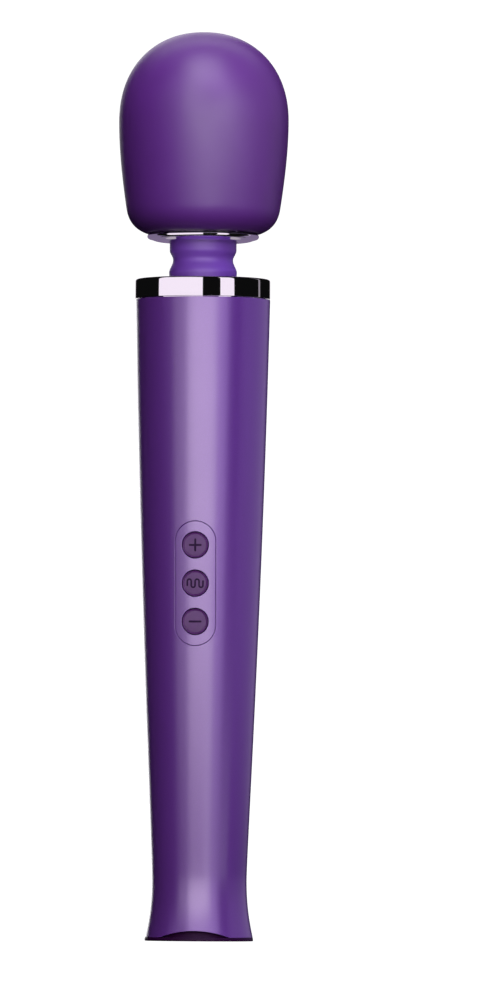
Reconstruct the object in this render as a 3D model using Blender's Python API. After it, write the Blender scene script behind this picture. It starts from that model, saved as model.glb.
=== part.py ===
"""Handheld wand massager: a flared handle with its battery, board and motor, a flexible neck and a soft head.

The wand stands upright on its foot. The origin is the middle of the foot's underside, +Z runs up the
wand's axis, and the buttons face -Y. Sizes are in metres. Every piece is one closed solid.
"""

from math import asin, cos, pi, radians, sin

import bmesh
import bpy
import numpy as np
from mathutils import Matrix, Vector

MM = 0.001

# ---- driving dimensions ----
GAP = 0.3 * MM  # between pieces that touch
WALL = 2.0 * MM  # handle shells

# Outline of the handle, as (radius, height): a flared foot, a waist and a long taper up to the collar
FOOT_RADIUS = 19.85 * MM
WAIST_RADIUS = 17.2 * MM
WAIST_HEIGHT = 22 * MM
COLLAR_RADIUS = 24.5 * MM
COLLAR_BOTTOM = 232.9 * MM
COLLAR_TOP = 240.2 * MM

# Neck sleeve
NECK_BULGE_RADIUS = 12.35 * MM
NECK_WAIST_RADIUS = 10.9 * MM
NECK_TOP_RADIUS = 12.15 * MM
NECK_BORE_RADIUS = 8.5 * MM
NECK_BULGE = 242.3 * MM
NECK_WAIST = 247.0 * MM
NECK_SHOULDER = 250.6 * MM
NECK_FLANGE_RADIUS = 16.2 * MM
NECK_PASSAGE = 12.6 * MM  # bore of the collar and of the head ring
PITCH_PIVOT = 242.8 * MM  # height of the joint that nods the head
ROLL_PIVOT = 252.0 * MM  # height of the joint that leans it sideways

# Head
HEAD_RADIUS = 30.83 * MM
HEAD_WIDEST = 297.4 * MM
HEAD_TOP = 330 * MM
HEAD_BOTTOM = 256.8 * MM
DOME_POWER = 2.17  # 2 would be an ellipse
SKIN = 2.4 * MM  # silicone cap
CORE_WALL = 1.8 * MM
CORE_SPLIT = 283 * MM
HEAD_FLOOR = 259.3 * MM  # underside of the hard core
HEAD_RING_RADIUS = 20.3 * MM

# Buttons
BUTTON_HEIGHTS = {"plus": 142.9 * MM, "pattern": 129.1 * MM, "minus": 115.3 * MM}
BUTTON_RADIUS = 4.65 * MM
PANEL_RADIUS = 7.4 * MM
PANEL_REACH = 1.3 * MM  # its round ends are centred this far beyond the outer buttons
PANEL_DEPTH = 3.0 * MM
BUTTON_RECESS = 0.2 * MM

# Drive line
SHAFT_RADIUS = 2.5 * MM
MOTOR_SHAFT_RADIUS = 1.5 * MM
RUNNING_GAP = 0.12 * MM
MOTOR_RADIUS = 13.85 * MM

# Screws: (shaft radius, clearance hole radius)
SCREW, SCREW_HOLE = 0.85 * MM, 1.15 * MM

BATTERY_RADIUS = 9.1 * MM
BATTERY_LENGTH = 65 * MM
BATTERY_BACK = 4 * MM  # the cells stand this far behind the wand's axis
BOARD_FRONT = -11.0 * MM
BOARD_BACK = -9.6 * MM
BOARD_SCREW_HEIGHTS = (101 * MM, 163 * MM)

MATERIALS = {  # name: (colour, roughness, metallic)
    "silicone_purple": ((0.13, 0.055, 0.26, 1), 0.55, 0.0),
    "shell_purple": ((0.16, 0.07, 0.30, 1), 0.32, 0.6),
    "button_plum": ((0.075, 0.035, 0.105, 1), 0.4, 0.0),
    "chrome": ((0.85, 0.85, 0.88, 1), 0.05, 1.0),
    "black_plastic": ((0.02, 0.02, 0.022, 1), 0.5, 0.0),
    "grey_plastic": ((0.35, 0.35, 0.37, 1), 0.5, 0.0),
    "black_rubber": ((0.03, 0.03, 0.03, 1), 0.8, 0.0),
    "steel": ((0.55, 0.56, 0.58, 1), 0.3, 1.0),
    "bronze": ((0.5, 0.3, 0.12, 1), 0.4, 1.0),
    "ferrite": ((0.05, 0.05, 0.055, 1), 0.6, 0.3),
    "cell_wrap": ((0.02, 0.14, 0.35, 1), 0.35, 0.0),
    "board_green": ((0.01, 0.12, 0.04, 1), 0.45, 0.0),
    "wire_red": ((0.5, 0.01, 0.01, 1), 0.5, 0.0),
    "wire_black": ((0.015, 0.015, 0.015, 1), 0.5, 0.0),
}


# ---- modelling tools ----
def start_clean():
    for obj in list(bpy.data.objects):
        bpy.data.objects.remove(obj)


def material(name):
    found = bpy.data.materials.get(name)
    if found:
        return found
    colour, roughness, metallic = MATERIALS[name]
    made = bpy.data.materials.new(name)
    made.use_nodes = True
    shader = made.node_tree.nodes["Principled BSDF"]
    shader.inputs["Base Color"].default_value = colour
    shader.inputs["Roughness"].default_value = roughness
    shader.inputs["Metallic"].default_value = metallic
    made.diffuse_color = colour
    return made


def frame_at(name, height, parent=None):
    """An empty on the wand's axis that carries the pieces of one moving body."""
    empty = bpy.data.objects.new(name, None)
    bpy.context.scene.collection.objects.link(empty)
    empty.location = (0, 0, height)
    if parent:
        empty.parent = parent
        empty.location.z -= parent.matrix_world.translation.z
    bpy.context.view_layer.update()
    return empty


def add(name, bm, look, parent, origin=None):
    """Makes the object of a mesh drawn in place. Its origin, and so its location, is at origin."""
    origin = Vector(origin or parent.matrix_world.translation)
    bmesh.ops.recalc_face_normals(bm, faces=bm.faces)
    bm.transform(Matrix.Translation(-origin))
    mesh = bpy.data.meshes.new(name)
    bm.to_mesh(mesh)
    bm.free()
    mesh.shade_smooth()
    mesh.set_sharp_from_angle(angle=radians(35))
    obj = bpy.data.objects.new(name, mesh)
    bpy.context.scene.collection.objects.link(obj)
    obj.parent = parent
    obj.location = origin - parent.matrix_world.translation
    if look:
        mesh.materials.append(material(look))
    bpy.context.view_layer.update()
    return obj


def turned_mesh(profile, segments, centre=(0, 0), start=0.0, sweep=360.0):
    """A solid turned about a vertical axis. The profile is a closed loop of (radius, height); a sweep
    under 360 degrees, which starts at that angle from +X, gets two flat ends."""
    bm = bmesh.new()
    whole = sweep >= 360
    steps = segments if whole else segments + 1
    rings = []
    for i in range(steps):
        angle = radians(start + sweep * i / segments)
        ring = []
        for j, (radius, height) in enumerate(profile):
            if radius < 1e-7 and i > 0:
                ring.append(rings[0][j])
                continue
            point = (centre[0] + radius * cos(angle), centre[1] + radius * sin(angle), height)
            ring.append(bm.verts.new(point))
        rings.append(ring)
    for i in range(segments):
        here, there = rings[i], rings[(i + 1) % steps]
        for j in range(len(profile)):
            k = (j + 1) % len(profile)
            corners = []
            for vert in (here[j], there[j], there[k], here[k]):
                if vert not in corners:
                    corners.append(vert)
            if len(corners) > 2:
                bm.faces.new(corners)
    if not whole:
        bm.faces.new(rings[0])
        bm.faces.new(rings[-1])
    return bm


def turned(name, profile, look, parent, segments=24, **where):
    return add(name, turned_mesh(profile, segments, **where), look, parent)


def ring_profile(inner, outer, low, high):
    return [(inner, low), (outer, low), (outer, high), (inner, high)]


def rod_mesh(radius, start, end, segments=10):
    """A cylinder between two points, turned a little so that no edge lies on a plane of symmetry."""
    bm = bmesh.new()
    start, end = Vector(start), Vector(end)
    along = end - start
    turn = Vector((0, 0, 1)).rotation_difference(along).to_matrix().to_4x4() @ Matrix.Rotation(0.2, 4, "Z")
    bmesh.ops.create_cone(
        bm, cap_ends=True, segments=segments, radius1=radius, radius2=radius, depth=along.length,
        matrix=Matrix.Translation((start + end) / 2) @ turn,
    )
    return bm


def block_mesh(low, high):
    bm = bmesh.new()
    low, high = Vector(low), Vector(high)
    size = Matrix.Diagonal((*(high - low), 1))
    bmesh.ops.create_cube(bm, size=1, matrix=Matrix.Translation((low + high) / 2) @ size)
    return bm


def plate_mesh(outline, low, high):
    """A flat shape drawn as (x, y) points, lying between two heights."""
    bm = bmesh.new()
    face = bm.faces.new([bm.verts.new((x, y, low)) for x, y in outline])
    grown = bmesh.ops.extrude_face_region(bm, geom=[face])["geom"]
    moved = [item for item in grown if isinstance(item, bmesh.types.BMVert)]
    bmesh.ops.translate(bm, verts=moved, vec=(0, 0, high - low))
    return bm


def slab_mesh(outline, near, far):
    """A flat shape drawn as (x, z) points, standing between two distances along Y."""
    bm = plate_mesh(outline, -far, -near)
    bm.transform(Matrix.Rotation(radians(90), 4, "X"))
    return bm


def shape(obj, bm, operation):
    """Cuts, joins or intersects obj with a helper mesh drawn in place."""
    helper = add(f"{obj.name}_{operation.lower()}_{len(obj.modifiers)}", bm, None, obj, (0, 0, 0))
    helper.hide_render = True
    helper.display_type = "WIRE"
    modifier = obj.modifiers.new(helper.name, "BOOLEAN")
    modifier.operation = operation
    modifier.object = helper


def cut(obj, bm):
    shape(obj, bm, "DIFFERENCE")


def screw(name, start, tip, parent, head_radius=1.5 * MM, head_height=1.1 * MM):
    """A pan-head screw whose head stands on start and whose shaft ends at tip, turned as one outline."""
    start, tip = Vector(start), Vector(tip)
    outline = [
        (0, 0), (SCREW, 0), (SCREW, (tip - start).length),
        (head_radius, (tip - start).length), (head_radius, (tip - start).length + head_height * 0.6),
        (head_radius * 0.7, (tip - start).length + head_height), (0, (tip - start).length + head_height),
    ]
    bm = turned_mesh(outline, 8)
    turn = Vector((0, 0, 1)).rotation_difference(start - tip).to_matrix().to_4x4()
    bm.transform(Matrix.Translation(tip) @ turn)
    return add(name, bm, "steel", parent, start)


def bend(start, lead, tail, end, steps):
    """Points of a cubic curve, without its last point. Lead and tail are its two handles."""
    t = np.linspace(0, 1, steps + 1)[:-1, None]
    p0, p1, p2, p3 = (np.array(p) for p in (start, lead, tail, end))
    points = (1 - t) ** 3 * p0 + 3 * (1 - t) ** 2 * t * p1 + 3 * (1 - t) * t**2 * p2 + t**3 * p3
    return [tuple(map(float, p)) for p in points]


def wave(start, end, steps):
    """Points of a half cosine between two (radius, height) points, level at both, without its last."""
    points = []
    for i in range(steps):
        share = i / steps
        radius = start[0] + (end[0] - start[0]) * (1 - cos(pi * share)) / 2
        points.append((radius, start[1] + (end[1] - start[1]) * share))
    return points


def around(count, radius, first=75.0):
    """Evenly spaced (x, y) places on a circle."""
    turns = [radians(first + 360 * i / count) for i in range(count)]
    return [(radius * cos(a), radius * sin(a)) for a in turns]


# ---- outlines ----
def handle_curve(steps):
    flare = bend(
        (FOOT_RADIUS, 0), (18.6 * MM, 5.5 * MM), (WAIST_RADIUS, 12 * MM),
        (WAIST_RADIUS, WAIST_HEIGHT), steps,
    )
    taper = bend(
        (WAIST_RADIUS, WAIST_HEIGHT), (WAIST_RADIUS, 33 * MM), (22.2 * MM, 119 * MM),
        (COLLAR_RADIUS, COLLAR_BOTTOM), steps,
    )
    return [*flare, *taper, (COLLAR_RADIUS, COLLAR_BOTTOM)]


HANDLE_RADII, HANDLE_HEIGHTS = np.array(handle_curve(60)).T


def handle_radius(height):
    return float(np.interp(height, HANDLE_HEIGHTS, HANDLE_RADII))


def head_curve(corner_steps, side_steps, dome_steps):
    """The head's outline from the lip under it to the top of its dome."""
    corner_end = (28.0 * MM, 266 * MM)
    corner = bend(
        (21.0 * MM, HEAD_BOTTOM), (25.6 * MM, 258.6 * MM), (27.4 * MM, 261.8 * MM), corner_end, corner_steps
    )
    side = bend(
        corner_end, (29.5 * MM, 276 * MM), (HEAD_RADIUS, 287 * MM), (HEAD_RADIUS, HEAD_WIDEST), side_steps
    )
    dome = []
    for i in range(dome_steps + 1):
        angle = pi / 2 * i / dome_steps
        radius = HEAD_RADIUS * max(cos(angle), 0) ** (2 / DOME_POWER)
        dome.append((radius, HEAD_WIDEST + (HEAD_TOP - HEAD_WIDEST) * sin(angle) ** (2 / DOME_POWER)))
    dome[-1] = (0, HEAD_TOP)
    return [*corner, *side, *dome]


def inset(points, depth):
    """The line that runs this deep below an outline which ends on the axis."""
    line = np.array(points)
    along = np.gradient(line, axis=0)
    along[-1] = (-1, 0)
    along /= np.linalg.norm(along, axis=1)[:, None]
    inner = line + depth * np.column_stack([-along[:, 1], along[:, 0]])
    inner[:, 0] = np.maximum(inner[:, 0], 0)
    return [tuple(map(float, p)) for p in inner]


def head_line(depth, low, high, steps):
    """Points of the surface this deep below the head's skin, between two heights."""
    radii, heights = np.array(inset(head_curve(40, 40, 80), depth)).T
    order = np.argsort(heights)
    share = np.linspace(0, 1, steps)
    if high >= heights.max():  # closes at the top: crowd the points where the dome is flat
        share = np.sin(share * pi / 2)
        high = float(heights.max())
    wanted = low + (high - low) * share
    line = [(float(np.interp(z, heights[order], radii[order])), float(z)) for z in wanted]
    if high >= heights.max():
        line[-1] = (0.0, high)
    return line


# ---- handle ----
def pill(radius, steps=11):
    """The button panel's tall shape with round ends, as (x, z) points."""
    low, high = BUTTON_HEIGHTS["minus"] - PANEL_REACH, BUTTON_HEIGHTS["plus"] + PANEL_REACH
    top = [(radius * cos(pi * i / steps), high + radius * sin(pi * i / steps)) for i in range(steps + 1)]
    return top + [(-x, low - (z - high)) for x, z in top]


def shell_heights():
    foot = [1.3, 4, 7, 10, 14, 22, 40]
    return [z * MM for z in foot] + [z * MM for z in range(70, 200, 32)] + [COLLAR_BOTTOM - GAP]


def shell(name, start, parent):
    heights = shell_heights()
    outer = [(handle_radius(z), z) for z in heights]
    inner = [(handle_radius(z) - WALL, z) for z in reversed(heights[::2])]
    seam = np.degrees(asin(GAP / 2 / (WAIST_RADIUS - WALL)))
    return turned(name, outer + inner, "shell_purple", parent, 17, start=start + seam, sweep=180 - 2 * seam)


def board_boss(height):
    wall = handle_radius(height) - WALL * 0.6
    return rod_mesh(2.6 * MM, (0, BOARD_FRONT - GAP, height), (0, -wall, height), 14)


def foot_notch(depth_from, depth_to):
    """A round arch through the front of the skirt, just above the base cap."""
    half_width, low, top = 12.7 * MM, 1.3 * MM, 3.7 * MM
    rise = top - low
    radius = (half_width**2 + rise**2) / (2 * rise)
    centre = top - radius
    reach = asin(min(1.0, half_width * 1.15 / radius))
    turns = [reach * i / 7 for i in range(7, -8, -1)]
    outline = [(radius * sin(turn), centre + radius * cos(turn)) for turn in turns]
    outline += [(-radius * sin(reach), -1 * MM), (radius * sin(reach), -1 * MM)]
    return slab_mesh(outline, depth_from, depth_to)


def handle_shells(parent):
    front = shell("front_shell", 180, parent)
    shell("rear_shell", 0, parent)
    for height in BOARD_SCREW_HEIGHTS:
        shape(front, board_boss(height), "UNION")
        cut(front, rod_mesh(SCREW_HOLE, (0, BOARD_BACK, height), (0, BOARD_FRONT - 6.5 * MM, height)))
    cut(front, slab_mesh(pill(PANEL_RADIUS + GAP), -30 * MM, -12 * MM))
    cut(front, foot_notch(-30 * MM, -10 * MM))


def button_panel(parent):
    low, high = BUTTON_HEIGHTS["minus"], BUTTON_HEIGHTS["plus"]
    heights = [low - 12 * MM, (low + high) / 2, high + 12 * MM]
    outer = [(handle_radius(z), z) for z in heights]
    inner = [(handle_radius(z) - PANEL_DEPTH, z) for z in reversed(heights)]
    panel = turned("button_panel", outer + inner, "shell_purple", parent, 9, start=230, sweep=80)
    shape(panel, slab_mesh(pill(PANEL_RADIUS), -30 * MM, -10 * MM), "INTERSECT")
    for height in BUTTON_HEIGHTS.values():
        cut(panel, rod_mesh(BUTTON_RADIUS + GAP, (0, -30 * MM, height), (0, -10 * MM, height), 24))
    return panel


def button(name, height, parent):
    """A button with its flange and stem, and the switch plunger that it pushes. Both slide along +Y."""
    face = -(handle_radius(height) - BUTTON_RECESS)
    flange = -(handle_radius(height) - PANEL_DEPTH) + 1.3 * MM
    stem_end = BOARD_FRONT - 4.6 * MM
    outline = [
        (0, face), (BUTTON_RADIUS - 0.4 * MM, face), (BUTTON_RADIUS, face + 0.4 * MM),
        (BUTTON_RADIUS, flange), (5.6 * MM, flange), (5.6 * MM, flange + 0.9 * MM),
        (2 * MM, flange + 0.9 * MM), (2 * MM, stem_end), (0, stem_end),
    ]
    bm = turned_mesh(outline, 20)
    bm.transform(Matrix.Translation((0, 0, height)) @ Matrix.Rotation(radians(-90), 4, "X"))
    add(f"{name}_button", bm, "button_plum", parent, (0, face, height))
    plunger = rod_mesh(1.6 * MM, (0, stem_end + GAP, height), (0, BOARD_FRONT - 2.6 * MM, height))
    add(f"{name}_plunger", plunger, "black_plastic", parent, (0, stem_end + GAP, height))


def board_and_switches(parent):
    board = add(
        "control_board", block_mesh((-11 * MM, BOARD_FRONT, 96 * MM), (11 * MM, BOARD_BACK, 168 * MM)),
        "board_green", parent,
    )
    for i, height in enumerate(BOARD_SCREW_HEIGHTS):
        cut(board, rod_mesh(SCREW_HOLE, (0, -20 * MM, height), (0, 0, height)))
        start, tip = (0, BOARD_BACK + GAP, height), (0, BOARD_FRONT - 5.5 * MM, height)
        screw(f"board_screw_{i + 1}", start, tip, parent, head_radius=1.8 * MM)
    for name, height in BUTTON_HEIGHTS.items():
        low = (-3 * MM, BOARD_FRONT - 3.6 * MM, height - 3 * MM)
        high = (3 * MM, BOARD_FRONT - GAP, height + 3 * MM)
        switch = add(f"{name}_switch", block_mesh(low, high), "black_plastic", parent)
        cut(switch, rod_mesh(1.9 * MM, (0, -20 * MM, height), (0, BOARD_FRONT - 1.4 * MM, height)))
    back = BOARD_BACK + GAP
    add("controller_chip", block_mesh((-4 * MM, back, 124 * MM), (4 * MM, back + 1.2 * MM, 132 * MM)),
        "black_plastic", parent)
    add("lead_connector", block_mesh((-5 * MM, back, 148 * MM), (5 * MM, back + 3 * MM, 154 * MM)),
        "grey_plastic", parent)


def battery_pack(parent):
    """Two round cells end to end in a trough that is open to the front."""
    low = 25.8 * MM
    for name in ("lower_cell", "upper_cell"):
        top = low + BATTERY_LENGTH
        nub = 3 * MM
        outline = [
            (0, low), (BATTERY_RADIUS - 0.6 * MM, low), (BATTERY_RADIUS, low + 0.6 * MM),
            (BATTERY_RADIUS, top - 2 * MM), (BATTERY_RADIUS - 0.6 * MM, top - 1.4 * MM),
            (nub, top - 1.4 * MM), (nub, top), (0, top),
        ]
        turned(name, outline, "cell_wrap", parent, 16, centre=(0, BATTERY_BACK))
        low = top + 2 * MM
    inner, outer, hub = BATTERY_RADIUS + GAP, BATTERY_RADIUS + 1.5 * MM, 3.5 * MM
    floor, lid, plate = 24 * MM, 160 * MM, 1.4 * MM
    outline = [
        (hub, floor), (outer, floor), (outer, lid), (hub, lid), (hub, lid - plate), (inner, lid - plate),
        (inner, floor + plate), (hub, floor + plate),
    ]
    tray = turned(
        "battery_tray", outline, "black_plastic", parent, 14, centre=(0, BATTERY_BACK), start=-8, sweep=196
    )
    for x, y in base_screw_places():
        shape(tray, rod_mesh(2.2 * MM, (x, y, 7 * MM), (x, y, floor + plate * 0.7), 14), "UNION")
        cut(tray, rod_mesh(SCREW_HOLE, (x, y, 5 * MM), (x, y, 14 * MM)))


def base_screw_places():
    return [(side * 9.2 * MM, 4.8 * MM) for side in (-1, 1)]


def base_and_jack(parent):
    plug_way, socket = 3.3 * MM, 5.3 * MM
    outline = [
        (plug_way, 0), (FOOT_RADIUS - 0.4 * MM, 0), (FOOT_RADIUS, 0.4 * MM),
        (handle_radius(1 * MM), 1 * MM), (17.2 * MM, 1 * MM), (16.0 * MM, 6.3 * MM),
        (14.5 * MM, 6.3 * MM), (14.5 * MM, 2.2 * MM), (6.6 * MM, 2.2 * MM), (6.6 * MM, 10 * MM),
        (socket, 10 * MM), (socket, 5 * MM), (plug_way, 5 * MM),
    ]
    cap = turned("base_cap", outline, "button_plum", parent, 32)
    for i, (x, y) in enumerate(base_screw_places()):
        cut(cap, rod_mesh(SCREW_HOLE, (x, y, -5 * MM), (x, y, 5 * MM)))
        cut(cap, rod_mesh(2.1 * MM, (x, y, -5 * MM), (x, y, 1.3 * MM), 16))
        screw(f"base_screw_{i + 1}", (x, y, 1.0 * MM), (x, y, 12 * MM), parent, head_radius=1.75 * MM,
              head_height=0.8 * MM)
    jack = [
        (3.0 * MM, 5.3 * MM), (socket - GAP, 5.3 * MM), (socket - GAP, 17 * MM), (0, 17 * MM),
        (0, 15.5 * MM), (3.0 * MM, 15.5 * MM),
    ]
    turned("charging_jack", jack, "black_plastic", parent, 20)
    pin = [(0, 6.5 * MM), (1 * MM, 6.5 * MM), (1 * MM, 15.2 * MM), (0, 15.2 * MM)]
    turned("jack_pin", pin, "steel", parent, 12)


def motor(parent, spinning):
    """A brushed motor, held by a rubber sleeve in a cradle and by a plate on its face."""
    low, top, face = 186 * MM, 224 * MM, 222 * MM
    inner, shaft_way = 12.6 * MM, MOTOR_SHAFT_RADIUS + RUNNING_GAP
    can = turned("motor_can", [
        (inner, low), (MOTOR_RADIUS, low), (MOTOR_RADIUS, top), (5 * MM, top), (5 * MM, top + 2 * MM),
        (shaft_way, top + 2 * MM), (shaft_way, face), (inner, face),
    ], "steel", parent, 24)
    turned("motor_end_cap", [
        (shaft_way, 182.5 * MM), (MOTOR_RADIUS, 182.5 * MM), (MOTOR_RADIUS, low - GAP),
        (inner - GAP, low - GAP), (inner - GAP, low + 2 * MM), (shaft_way, low + 2 * MM),
    ], "black_plastic", parent, 20)
    for name, start in (("left_magnet", 115), ("right_magnet", -65)):
        turned(name, ring_profile(10.2 * MM, inner - GAP, 191 * MM, 215 * MM), "ferrite", parent, 8,
               start=start, sweep=130)
    turned("motor_armature", [
        (shaft_way, 189 * MM), (3.4 * MM, 189 * MM), (3.4 * MM, 192 * MM), (9.6 * MM, 192 * MM),
        (9.6 * MM, 214 * MM), (shaft_way, 214 * MM),
    ], "bronze", spinning, 20)
    turned("motor_shaft", [
        (0, 183.5 * MM), (MOTOR_SHAFT_RADIUS, 183.5 * MM), (MOTOR_SHAFT_RADIUS, 242.4 * MM),
        (0, 242.4 * MM),
    ], "steel", spinning, 14)
    sleeve = 17.5 * MM
    sleeve_outline = ring_profile(MOTOR_RADIUS + GAP, sleeve, 187 * MM, 219 * MM)
    turned("motor_sleeve", sleeve_outline, "black_rubber", parent, 20)
    turned("motor_cradle", [
        (sleeve + GAP, 186 * MM), (20.3 * MM, 186 * MM), (20.3 * MM, 189 * MM), (19.3 * MM, 189 * MM),
        (19.3 * MM, 217 * MM), (21.4 * MM, 217 * MM), (21.4 * MM, 220 * MM), (sleeve + GAP, 220 * MM),
    ], "grey_plastic", parent, 24)
    plate_outline = ring_profile(5.4 * MM, 21.7 * MM, top + GAP, top + 3 * MM)
    plate = turned("motor_plate", plate_outline, "steel", parent, 24)
    for i, (x, y) in enumerate(around(2, 8.5 * MM)):
        for piece in (can, plate):
            cut(piece, rod_mesh(SCREW_HOLE, (x, y, 219 * MM), (x, y, 235 * MM)))
        start, tip = (x, y, top + 3 * MM + GAP), (x, y, 220.5 * MM)
        screw(f"motor_screw_{i + 1}", start, tip, parent, head_radius=1.8 * MM)


def collar_and_clamp(parent):
    """The chromed collar, and under it the plate that clamps the neck sleeve's flange."""
    pocket, step, flange_top = NECK_FLANGE_RADIUS + GAP, 20.1 * MM, 238.6 * MM
    plate_low, plate_top = 232.8 * MM, 236.0 * MM
    crown = [(COLLAR_RADIUS, 239.0 * MM), (24.2 * MM, 239.6 * MM), (23.5 * MM, 240.0 * MM)]
    collar = turned("collar_ring", [
        (22.0 * MM, COLLAR_BOTTOM), (COLLAR_RADIUS, COLLAR_BOTTOM), *crown, (NECK_PASSAGE, COLLAR_TOP),
        (NECK_PASSAGE, flange_top), (pocket, flange_top), (pocket, plate_top + GAP),
        (step, plate_top + GAP), (step, 229.5 * MM), (22.0 * MM, 229.5 * MM),
    ], "chrome", parent, 32)
    plate_outline = ring_profile(8 * MM, step - GAP, plate_low, plate_top)
    plate = turned("neck_clamp_plate", plate_outline, "grey_plastic", parent, 24)
    for i, (x, y) in enumerate(around(3, 18.3 * MM)):
        cut(plate, rod_mesh(SCREW_HOLE, (x, y, plate_low - 1 * MM), (x, y, plate_top + 1 * MM)))
        cut(collar, rod_mesh(SCREW_HOLE, (x, y, plate_top), (x, y, 238.9 * MM)))
        screw(f"clamp_screw_{i + 1}", (x, y, plate_low - GAP), (x, y, 238.6 * MM), parent)


def sleeve_outline(low, high, points):
    """The part of the neck sleeve's outline between two heights."""
    radii, heights = np.array(points).T
    inside = [(r, z) for r, z in points if low < z < high]
    ends = [(float(np.interp(z, heights, radii)), z) for z in (low, high)]
    return [ends[0], *inside, ends[1]]


def neck_line():
    return [
        (NECK_TOP_RADIUS, 236.3 * MM), (NECK_TOP_RADIUS, 240.6 * MM),
        *wave((NECK_BULGE_RADIUS, NECK_BULGE), (NECK_WAIST_RADIUS, NECK_WAIST), 4),
        *wave((NECK_WAIST_RADIUS, NECK_WAIST), (NECK_TOP_RADIUS, NECK_SHOULDER), 4),
        (NECK_TOP_RADIUS, NECK_SHOULDER), (NECK_TOP_RADIUS, 259 * MM),
    ]


def neck_sleeve(parent, head_frame):
    """The ribbed sleeve, split at its waist so that each half bends with its own joint."""
    half_gap = GAP / 2
    lower = sleeve_outline(238.3 * MM, NECK_WAIST - half_gap, neck_line())
    turned("neck_sleeve_lower", [
        (NECK_BORE_RADIUS, 236.3 * MM), (NECK_FLANGE_RADIUS, 236.3 * MM),
        (NECK_FLANGE_RADIUS, 238.3 * MM), *lower, (NECK_BORE_RADIUS, NECK_WAIST - half_gap),
    ], "silicone_purple", parent, 24)
    upper = sleeve_outline(NECK_WAIST + half_gap, 255.7 * MM, neck_line())
    turned("neck_sleeve_upper", [
        (NECK_BORE_RADIUS, NECK_WAIST + half_gap), *upper, (NECK_FLANGE_RADIUS, 255.7 * MM),
        (NECK_FLANGE_RADIUS, HEAD_FLOOR - GAP), (NECK_BORE_RADIUS, HEAD_FLOOR - GAP),
    ], "silicone_purple", head_frame, 24)


def leads(parent):
    """Wires that run inside the handle: from the board to the motor, and from the jack to the board."""
    charging = [
        (0, 0, 17.5), (0, -2, 20), (0, -7, 25), (0, -8.4, 45), (0, -8.4, 88), (3, -7.8, 100), (7, -8, 106),
    ]
    routes = {"charging_lead": ("wire_black", charging)}
    for name, side in (("red", -1), ("black", 1)):
        points = [(3, -7.8, 154.6), (3.6, -7, 160), (6, -2, 168), (8, 1.5, 176), (8, 1, 182)]
        routes[f"motor_lead_{name}"] = (f"wire_{name}", [(side * x, y, z) for x, y, z in points])
    for name, (look, points) in routes.items():
        line = bpy.data.curves.new(name, "CURVE")
        line.dimensions = "3D"
        line.bevel_depth = 0.8 * MM
        line.bevel_resolution = 1
        line.use_fill_caps = True
        smooth = smooth_route([Vector(p) * MM for p in points], 3)
        spline = line.splines.new("POLY")
        spline.points.add(len(smooth) - 1)
        for point, place in zip(spline.points, smooth):
            point.co = (*place, 1)
        wire = bpy.data.objects.new(name, line)
        bpy.context.scene.collection.objects.link(wire)
        wire.parent = parent
        line.materials.append(material(look))


def smooth_route(points, steps):
    """Points of one smooth curve through the given ones."""
    padded = [points[0] * 2 - points[1], *points, points[-1] * 2 - points[-2]]
    smooth = []
    for a, b, c, d in zip(padded, padded[1:], padded[2:], padded[3:]):
        for i in range(steps):
            t = i / steps
            square, cube = 2 * a - 5 * b + 4 * c - d, 3 * b - a - 3 * c + d
            smooth.append(0.5 * (2 * b + (c - a) * t + square * t**2 + cube * t**3))
    return [*smooth, points[-1]]


# ---- drive line in the neck and head ----
def coupling(neck_frame):
    """The ribbed drive coupling between the two shafts, and the ring that guides it."""
    low, high, ribs = 243.2 * MM, 251.6 * MM, 3
    pitch = (high - low) / ribs
    outline = [(0, low)]
    for i in range(ribs):
        base = low + i * pitch
        outline += [(2.5 * MM, base), (3 * MM, base + pitch * 0.25), (3 * MM, base + pitch * 0.75)]
    outline += [(2.5 * MM, high), (0, high)]
    turned("flex_coupling", outline, "black_rubber", neck_frame, 12)
    ring = ring_profile(3.4 * MM, NECK_BORE_RADIUS - GAP, 245 * MM, 249 * MM)
    turned("neck_guide_ring", ring, "grey_plastic", neck_frame, 20)


def eccentric(parent):
    """The head's shaft and the half-round weight that shakes it."""
    low, high, hub = 272 * MM, 292 * MM, 5.6 * MM
    bore = SHAFT_RADIUS + RUNNING_GAP
    shaft = [(0, 252.4 * MM), (SHAFT_RADIUS, 252.4 * MM), (SHAFT_RADIUS, 308 * MM), (0, 308 * MM)]
    turned("head_shaft", shaft, "steel", parent, 20)
    outline = [(hub * cos(pi * i / 8), hub * sin(pi * i / 8)) for i in range(9)]
    outline += [(13 * MM * cos(pi + pi * i / 14), 13 * MM * sin(pi + pi * i / 14)) for i in range(15)]
    weight = add("eccentric_weight", plate_mesh(outline, low, high), "bronze", parent)
    cut(weight, rod_mesh(bore, (0, 0, low - 5 * MM), (0, 0, high + 5 * MM), 20))


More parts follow.
